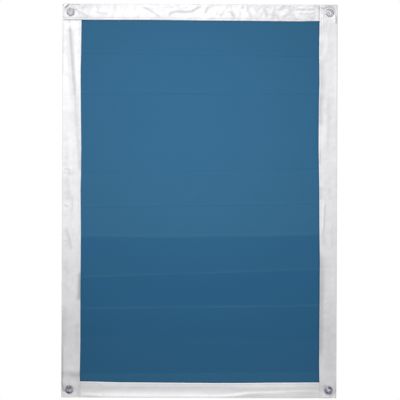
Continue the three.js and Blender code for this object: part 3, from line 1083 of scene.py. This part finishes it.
# %% A hem's section
tuck_stations = (6.0, 4.0, 2.0, 0.9)
first_stations = (0.8, 1.4, 2.0, 2.5, 3.0, 3.6)
even_stations_start, even_stations_stop = 4.4, 1.4
outer_bevel = 0.9
roll_radius, roll_steps = 0.28, 7
hem_depth = lining_depth + 0.85
tuck_drop = 0.088
tuck_rise, tuck_fades = 0.5, (3, 15)
lap_rise, climb_length, climb_end = 0.4, 20.0, 0.5
waver_fades = (4, 12)
seam_inset, seam_dip, seam_dip_width = 2.5, 0.1, 0.5
outer_turn, outer_turn_steps = 0.5, 6


def steady(strength):
    """Gives one strength at all places along a hem."""
    return lambda along: strength + 0 * along


class Side(NamedTuple):
    edge: float  # where the hem's outer edge is
    inner: float  # where its inner edge is in the CAD model
    upright: bool  # whether it runs up the blind or across it
    line: object  # gives the inner edge's place, for places along the hem
    folds: list
    painted_dimming: float  # how much painted shade greys it all over
    painted_roll_shade: float = 0  # how much painted shade greys its rolled inner edge
    crumple: object = steady(0.5)  # gives the strength of its small crumples
    lift: object = steady(0)  # gives how far the hem is lifted there
    covered: object = steady(0)  # gives 1 where another hem lies over it
    lean: object = steady(0)  # gives how far its outer half leans out into the room


def tuck_swell(s):
    """How far the tucked leg pushes out the front leg, at distance s from the inner edge."""
    return tuck_rise * (1 - smooth(*tuck_fades, s))


def climb(past_edge):
    """How far a hem is lifted where it crosses another, by the distance past that one's edge."""
    return smooth(-climb_length, climb_end, past_edge) * (lap_rise + tuck_swell(past_edge))


def on_hem(side, reach, along):
    """The x, the row and the height of places at a distance from a hem's inner edge."""
    outwards = 1 if side.edge > side.inner else -1
    shift = side.line(slanted(side.inner, along) if side.upright else along) - side.inner
    across = side.inner + outwards * reach + shift * (1 - smooth(*waver_fades, reach))
    x, row = (across, along) if side.upright else (along, across)
    return x, row, slanted(x, row)


# %% [markdown]
# Between the traced folds each hem has its own unevenness: a soft puff along its middle where
# air is caught in the fold, and small crumples. All of it fades out under a cup's head and
# where another hem lies over it, because there the layers are pressed together.

# %% Front leg
puff_height, puff_margin, puff_waves = 0.13, 1, [(0.08, 55, 6)]
crumple_height = 0.12
crumple_waves = [(0.10, 6.5, 3), (0.06, 3.2, 4), (0.10, 15, 5)]
patch_waves = [(0.10, 5, 11), (0.06, 2.3, 12)]
free_of_heads = (6, 12)
open_from_inner, open_from_outer = (0, 1.6), (2.2, outer_bevel)
lean_starts_at, lean_ends_at = 1 / 3, 1.25


def leaning(side, s, along):
    """How far a hem leans out into the room at distance s from its inner edge."""
    width = abs(side.edge - side.inner)
    return side.lean(along) * smooth(lean_starts_at * width, lean_ends_at * width, s)


def front_leg(side, s, along):
    """How far a hem's front leg stands out at distance s from its inner edge."""
    x, _, z = on_hem(side, s, along)
    width = abs(side.edge - side.inner)
    share = (s - seam_inset) / (width - seam_inset - puff_margin)
    middle = np.sin(pi * np.clip(share, 0, 1)) ** 2
    free = smooth(*free_of_heads, from_cups(x, z)) * (1 - side.covered(along))
    outer_start, outer_end = (width - inset for inset in open_from_outer)
    open_side = smooth(*open_from_inner, s) * (1 - smooth(outer_start, outer_end, s))
    puff = puff_height + waves(x, z, puff_waves)
    lively = np.maximum(crumple_height + waves(x, z, crumple_waves) * side.crumple(along), 0)
    folded = np.maximum(fold_marks(x, z, side.folds)[0], 0)
    dip = seam_dip * np.exp(-(((s - seam_inset) / seam_dip_width) ** 2))
    raised = (puff * middle + (lively + folded) * open_side) * free
    return tuck_swell(s) - dip + raised + leaning(side, s, along)


def mottled(side, x, z, along):
    """How grey a hem's coat is between the folds: its painted shade all over, with soft patches."""
    return side.painted_dimming + waves(x, z, patch_waves) * side.crumple(along)


def hem_section(side, along):
    """The hem's stations from the tucked edge to the outer one: reach, depth and painted shade."""
    width = abs(side.edge - side.inner)
    front = hem_depth + side.lift(along)
    level = 0 * along
    tucked = front - tuck_drop
    section = [(s + level, tucked, 0) for s in tuck_stations]
    for angle in np.linspace(-pi / 2, pi / 2, roll_steps):
        reach = roll_radius * (1 - cos(angle)) + level
        section.append((reach, tucked + roll_radius * (1 + sin(angle)), side.painted_roll_shade))
    even_stations = np.arange(even_stations_start, width - even_stations_stop, hem_pitch)
    for s in (*first_stations, *even_stations, width - outer_bevel):
        section.append((s + level, front + front_leg(side, s, along), 0))
    turn_middle = lining_depth + turn_radius
    crown = front + leaning(side, width, along) - turn_middle
    for angle in np.linspace(pi / 2, 0, outer_turn_steps):
        reach = width - half_wall - outer_turn * (1 - cos(angle)) + level
        section.append((reach, turn_middle + crown * sin(angle), 0))
    return section


# %% [markdown]
# The section is swept along each side. The side hems use the cloth's rows, so the creases run
# on into them, and like the cloth they are made in two lengths.

# %% The four hems
foot_turn, foot_turn_fades = 1.5, (20, 75)
top_crumple, top_crumple_rise, top_crumple_fades = 0.5, 0.7, (-60, 90)
lap_fade_start, right_lap_fade_start, lap_fade_end = 12, 14, 1


def sew_hem(name, low, high, side):
    """One length of a hem, from low to high along its side."""
    along = rows_between(low, high, hem_pitch) if side.upright else between(low, high, hem_pitch)
    lines, flat_lines, grey_lines = [], [], []
    travelled, before = 0, None
    # Each station's shade: the folds' painted shade and highlight, the hem's painted shade all over with
    # soft patches, and the roll's painted shade.
    for reach, depth, roll_shade in hem_section(side, along):
        x, row, z = on_hem(side, reach, along)
        if before is not None:
            travelled += float(np.hypot(reach - before[0], depth - before[1]).mean())
        before = (reach, depth)
        lines.append(np.stack([x, -(depth + relief(x, row)), z], axis=-1))
        flat_line = (travelled + 0 * along, along) if side.upright else (along, travelled + 0 * along)
        flat_lines.append(np.stack(flat_line, axis=-1))
        grey_lines.append(fold_marks(x, z, side.folds)[1] + mottled(side, x, z, along) + roll_shade)
    order = 1 if side.upright else 0
    grid, flat = np.stack(lines, axis=order), np.stack(flat_lines, axis=order)
    grey = np.stack(grey_lines, axis=order)
    inwards = side.edge < side.inner
    cut_to[name] = (travelled, high - low) if side.upright else (high - low, travelled)
    return make_sheet(name, grid, flat, grey, lining_thickness, silver_lining, inwards)


def upright_ends(node):
    """Where a piece that runs up the blind starts and ends, by its lower and upper nodes."""
    return edges(f"{node}_lower")[0].z, edges(f"{node}_upper")[1].z


def level_ends(node):
    """Where a piece that runs across the blind starts and ends."""
    low, high = edges(node)
    return low.x, high.x


def under_right_hem(x):
    return smooth(right_hem_edge - right_lap_fade_start, right_hem_edge - lap_fade_end, x)


def under_left_hem(x):
    return 1 - smooth(left_hem_edge + lap_fade_end, left_hem_edge + lap_fade_start, x)


left_side = Side(
    left_edge, left_hem_edge, True, left_inner_line, left_folds,
    painted_dimming=0.04,
    lift=lambda rows: climb(bottom_hem_edge - rows),
    covered=lambda rows: smooth(top_hem_edge - lap_fade_start, top_hem_edge - lap_fade_end, rows),
)
right_side = Side(
    right_edge, right_hem_edge, True, right_inner_line, right_folds,
    painted_dimming=0.06,
    painted_roll_shade=0.1,
    lift=lambda rows: climb(bottom_hem_edge - rows) + climb(rows - top_hem_edge),
)
top_side = Side(
    top_edge, top_hem_edge, False, top_inner_line, top_folds,
    painted_dimming=0.22,
    crumple=lambda x: top_crumple + top_crumple_rise * smooth(*top_crumple_fades, x),
    lift=lambda x: climb(left_hem_edge - x),
    covered=under_right_hem,
)
bottom_side = Side(
    bottom_edge, bottom_hem_edge, False, bottom_inner_line, bottom_folds,
    painted_dimming=0.03,
    crumple=steady(0.25),
    covered=lambda x: under_right_hem(x) + under_left_hem(x),
    lean=lambda x: foot_turn * (1 - smooth(*foot_turn_fades, x)),
)

left_hems = in_two_lengths("left_hem", sew_hem, *upright_ends("hem_left"), left_side)
right_hems = in_two_lengths("right_hem", sew_hem, *upright_ends("hem_right"), right_side)
top_hem = sew_hem("top_hem", *level_ends("hem_top"), top_side)
bottom_hem = sew_hem("bottom_hem", *level_ends("hem_bottom"), bottom_side)

# %% [markdown]
# A lockstitch shows as a row of short dashes, each a thread that comes up out of one hole and
# goes down the next. One stitch is modelled by hand: a six-sided ring is extruded in steps
# along the seam, swelling in the middle and sinking at both ends, and closed off. It is then
# copied along each seam, in front for the needle thread and behind for the bobbin thread.

# %% One stitch
stitch_pitch = 3.0
stitch_length = 2.5
stitch_gap = 0.02
thread_radius = 0.17
stitch_sink, stitch_end_share = 0.1, 0.55
stitch_drops = [-0.10, -0.04, 0.0, 0.04, 0.10]
stitch_swells = [1.6, 1.14, 1.0, 0.88, 0.625]
merge_distance = 0.001 * mm


def only(mesh_object, wanted):
    """Goes into edit mode with the vertices selected whose place the test wants."""
    bpy.ops.object.mode_set(mode="OBJECT")
    for vertex in mesh_object.data.vertices:
        vertex.select = wanted(vertex.co)
    for edge in mesh_object.data.edges:
        edge.select = all(mesh_object.data.vertices[i].select for i in edge.vertices)
    for face in mesh_object.data.polygons:
        face.select = False
    bpy.ops.object.mode_set(mode="EDIT")


def model_stitch():
    """A stitch along X whose middle is at the origin, with its crown towards -Y."""
    bpy.ops.object.select_all(action="DESELECT")
    start = Vector((-stitch_length / 2, stitch_sink, 0)) * mm
    end_radius = thread_radius * stitch_end_share * mm
    bpy.ops.mesh.primitive_circle_add(
        vertices=6, radius=end_radius, fill_type="NGON", location=start, rotation=(0, pi / 2, 0)
    )
    stitch = bpy.context.object
    bpy.ops.object.transform_apply(location=True, rotation=True, scale=True)
    bpy.ops.object.mode_set(mode="EDIT")
    bpy.ops.mesh.select_all(action="SELECT")
    place = start
    for drop, size in zip(stitch_drops, stitch_swells):
        step = Vector((stitch_length / len(stitch_drops), drop, 0)) * mm
        place = place + step
        bpy.ops.mesh.extrude_region_move(TRANSFORM_OT_translate={"value": step})
        bpy.ops.transform.resize(value=(1, size, size), center_override=place)
    bpy.ops.mesh.select_all(action="SELECT")
    bpy.ops.mesh.remove_doubles(threshold=merge_distance)
    bpy.ops.mesh.normals_make_consistent(inside=False)
    bpy.ops.object.mode_set(mode="OBJECT")
    print("one stitch:", len(stitch.data.polygons), "faces")
    return stitch


stitch = model_stitch()
stitch_points = np.array([vertex.co for vertex in stitch.data.vertices]) / mm
stitch_faces = [list(face.vertices) for face in stitch.data.polygons]
bpy.data.objects.remove(stitch)

# %% [markdown]
# Each seam is one piece of thread, so its stitches are copied into one mesh. The front ones
# stand on the hem's surface at the stitch line and the back ones on the lining.


# %% Seams
def seam(name, low, high, side):
    """A seam from low to high along a side: a stitch in front and one behind at each place."""
    along = np.arange(low + stitch_pitch / 2, high - stitch_pitch / 2, stitch_pitch)
    x, row, z = on_hem(side, seam_inset, along)
    front = hem_depth + side.lift(along) + front_leg(side, seam_inset, along) + half_wall + relief(x, row)
    back = lining_depth - half_wall + relief(x, row)
    around = np.arctan2(stitch_points[:, 2], stitch_points[:, 1]) / (2 * pi)
    one_flat = np.stack([stitch_points[:, 0] * mm, around], axis=-1)
    points, faces, flat = [], [], []
    for i in range(len(along)):
        for depth, facing in ((front[i] + stitch_gap, 1), (back[i] - stitch_gap, -1)):
            copy = stitch_points * (1, facing, 1)
            copy = copy[:, [2, 1, 0]] if side.upright else copy
            first = len(points) * len(stitch_points)
            points.append(copy + (x[i], -depth, z[i]))
            turned = (facing < 0) != side.upright
            faces += [[first + k for k in (reversed(face) if turned else face)] for face in stitch_faces]
            flat.append(one_flat)
    mesh = bpy.data.meshes.new(name)
    mesh.from_pydata((np.concatenate(points) * mm).tolist(), [], faces)
    corners = [corner for face in faces for corner in face]
    laid_flat = mesh.uv_layers.new(name="flat")
    laid_flat.data.foreach_set("uv", np.concatenate(flat)[corners].ravel())
    mesh.materials.append(thread)
    thread_piece = selected(name, mesh)
    bpy.ops.object.shade_smooth_by_angle(angle=radians(60))
    print(name, len(along), "stitches,", len(faces), "faces")
    return thread_piece


left_seams = in_two_lengths("left_seam", seam, *upright_ends("seam_left"), left_side)
right_seams = in_two_lengths("right_seam", seam, *upright_ends("seam_right"), right_side)
top_seam = seam("top_seam", *level_ends("seam_top"), top_side)
bottom_seam = seam("bottom_seam", *level_ends("seam_bottom"), bottom_side)

# %% [markdown]
# A suction cup is round all the way, so it is modelled as rings: a small filled circle at the
# top of its hollow is extruded along the section, each ring moved and scaled to the next
# radius and depth, out to the lip, up the flank, through the neck, round the head and down
# into the dimple. One cup is made and the others are copies at their own corners.

# %% One cup
cup_sides = 56
cup_back, cup_front = -edges(cup_nodes[0])[1].y, -edges(cup_nodes[0])[0].y
hollow_top_radius, hollow_depth, hollow_radius = 0.9, 2.4, 9.0
hollow_roundness, hollow_steps = 2.6, (2.6, 4.6, 6.4, 7.8, 8.6)
lip_rounding = 0.3
flank_bend = (6.6, 1.85)
shoulder_radius, shoulder_depth, shoulder_bevel = 4.7, 5.0, (0.25, 0.1)
neck_radius, neck_rounding = 3.0, 0.15
head_back, head_widest = 7.1, 8.3
head_radius, head_rounding, crown_radius = 5.45, 1.15, 2.9
dimple_radius, dimple_depth, dimple_rim = 1.2, 1.0, 2.7
dimple_steps = (2.4, 2.1, 1.8, 1.35, 0.8)


def arc(centre, radii, start, end, steps):
    """Points from one angle to another, in degrees, round an ellipse of the section."""
    angles = np.radians(np.linspace(start, end, steps))
    return [(centre[0] + radii[0] * cos(angle), centre[1] + radii[1] * sin(angle)) for angle in angles]


def curve(start, bend, end, steps):
    """Points after the start on a quadratic curve that leans towards its bend."""
    shares = np.linspace(0, 1, steps + 1)[1:, None]
    points = (1 - shares) ** 2 * start + 2 * shares * (1 - shares) * bend + shares**2 * end
    return [tuple(point) for point in points]


def cup_section():
    """The cup's section from the hollow's top to the dimple's floor, as radius and depth."""
    hollow = [
        (radius, hollow_depth * (1 - (radius / hollow_radius) ** hollow_roundness))
        for radius in hollow_steps
    ]
    lip_middle = (cup_radius - lip_rounding, cup_back + lip_rounding)
    lip = [(hollow_radius, cup_back), *arc(lip_middle, (lip_rounding, lip_rounding), -90, 90, 5)]
    bevel_in, bevel_back = shoulder_bevel
    flank_end = (shoulder_radius, shoulder_depth - bevel_back)
    flank = curve(np.array(lip[-1]), np.array(flank_bend), np.array(flank_end), 6)
    shoulder_end = (neck_radius + neck_rounding, shoulder_depth)
    shoulder = [(shoulder_radius - bevel_in, shoulder_depth), shoulder_end]
    neck = [
        (neck_radius, shoulder_depth + neck_rounding),
        (neck_radius, (shoulder_depth + head_back) / 2),
        (neck_radius, head_back - neck_rounding),
        (neck_radius + neck_rounding, head_back),
    ]
    under_middle = (head_radius - head_rounding, head_widest)
    under = arc(under_middle, (head_rounding, head_widest - head_back), -90, 0, 5)
    crown_radii = (head_radius - crown_radius, cup_front - head_widest)
    crown = arc((crown_radius, head_widest), crown_radii, 0, 90, 7)[1:]
    dimple = [
        (radius, cup_front - dimple_depth * (1 - smooth(dimple_radius, dimple_rim, radius)))
        for radius in dimple_steps
    ]
    return hollow + lip + flank + shoulder + neck + under + crown + dimple


def model_cup(name, centre, material):
    """A cup at a centre, with its lip on the glass."""
    bpy.ops.object.select_all(action="DESELECT")
    across, up = centre
    middle = Vector((across, -hollow_depth, up)) * mm
    bpy.ops.mesh.primitive_circle_add(
        vertices=cup_sides,
        radius=hollow_top_radius * mm,
        fill_type="TRIFAN",
        location=middle,
        rotation=(pi / 2, 0, 0),
    )
    cup = bpy.context.object
    cup.name = cup.data.name = name
    bpy.ops.object.transform_apply(location=True, rotation=True, scale=True)
    only(cup, lambda co: (co - middle).length > hollow_top_radius * mm / 2)
    radius, depth = hollow_top_radius, hollow_depth
    for next_radius, next_depth in cup_section():
        step = Vector((0, depth - next_depth, 0)) * mm
        middle = middle + step
        size = next_radius / radius
        bpy.ops.mesh.extrude_region_move(TRANSFORM_OT_translate={"value": step})
        bpy.ops.transform.resize(value=(size, 1, size), center_override=middle)
        radius, depth = next_radius, next_depth
    bpy.ops.mesh.edge_face_add()
    bpy.ops.mesh.poke()
    bpy.ops.mesh.select_all(action="SELECT")
    bpy.ops.mesh.remove_doubles(threshold=merge_distance)
    bpy.ops.mesh.normals_make_consistent(inside=False)
    bpy.ops.object.mode_set(mode="OBJECT")
    bpy.ops.object.shade_smooth_by_angle(angle=radians(60))
    cup.data.materials.append(material)
    print(name, len(cup.data.polygons), "faces")
    return cup


def copied_cup(name, original, move, material):
    """A cup's copy with its own mesh, moved in its mesh so that the object stays at the origin."""
    copy = original.copy()
    copy.data = original.data.copy()
    copy.name = copy.data.name = name
    copy.data.transform(Matrix.Translation(move * mm))
    copy.data.materials.clear()
    copy.data.materials.append(material)
    bpy.context.collection.objects.link(copy)
    return copy


first_x, first_z = cup_centres[cup_nodes[0]]
first_cup = model_cup("top_left_vinyl_cup", (first_x, first_z), clear_cup)
cups = {cup_nodes[0]: first_cup}
for node in cup_nodes[1:]:
    across, up = cup_centres[node]
    name = node.replace("cup_", "") + "_vinyl_cup"
    vinyl = painted_shade_cup if "bottom" in node else clear_cup
    cups[node] = copied_cup(name, first_cup, Vector((across - first_x, 0, up - first_z)), vinyl)

# %% [markdown]
# Each piece that is carried whole, the cups and the top and bottom hems, is given to the body
# that it moves with, and the CAD pieces that it stands for are hidden. The long sheets and
# threads, cut at the meeting row, lie above it on the upper and middle panels and below it on
# the middle and lower ones; their transforms are baked into their meshes, and the CAD pieces
# that they stand for are hidden.

# %% What moves with what
fold_reach = 6.0
bending = [
    (blue_cloths, "face_cloth", "blue_cloth"),
    (linings, "lining", "silver_lining"),
    (left_hems, "hem_left", "silver_lining"),
    (right_hems, "hem_right", "silver_lining"),
    (left_seams, "seam_left", "thread"),
    (right_seams, "seam_right", "thread"),
]
carried = [
    (top_hem, "silver_lining", "hem_top", "upper_panel"),
    (top_seam, "thread", "seam_top", "upper_panel"),
    (bottom_hem, "silver_lining", "hem_bottom", "lower_panel"),
    (bottom_seam, "thread", "seam_bottom", "lower_panel"),
]
carried += [(cup, "clear_cup", node, node.replace("cup_", "") + "_cup") for node, cup in cups.items()]


def bend_over(fold, piece, nodes, slot):
    """Bakes a piece's transform into its mesh and hides the CAD pieces that it stands for."""
    start = (0, 0, (fold + fold_reach) * mm)
    end = (0, 0, (fold - fold_reach) * mm)
    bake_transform(piece)
    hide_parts(*nodes)


for (upper_length, lower_length), node, slot in bending:
    upper_nodes = [f"{node}_upper", f"{node}_middle"]
    bend_over(middle_fold, upper_length, upper_nodes, slot)
    bend_over(lower_fold, lower_length, [f"{node}_lower"], slot)
for piece, slot, node, body in carried:
    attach(piece, body)
    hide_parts(node)
print(2 * len(bending), "pieces bend,", len(carried), "are carried whole")

# %% [markdown]
# The size that every sheet was cut to is printed.

# %% Flat sizes
for name, (width, length) in cut_to.items():
    width * mm
    length * mm
    print(name, "cut to", round(width, 1), "by", round(length, 1), "mm")
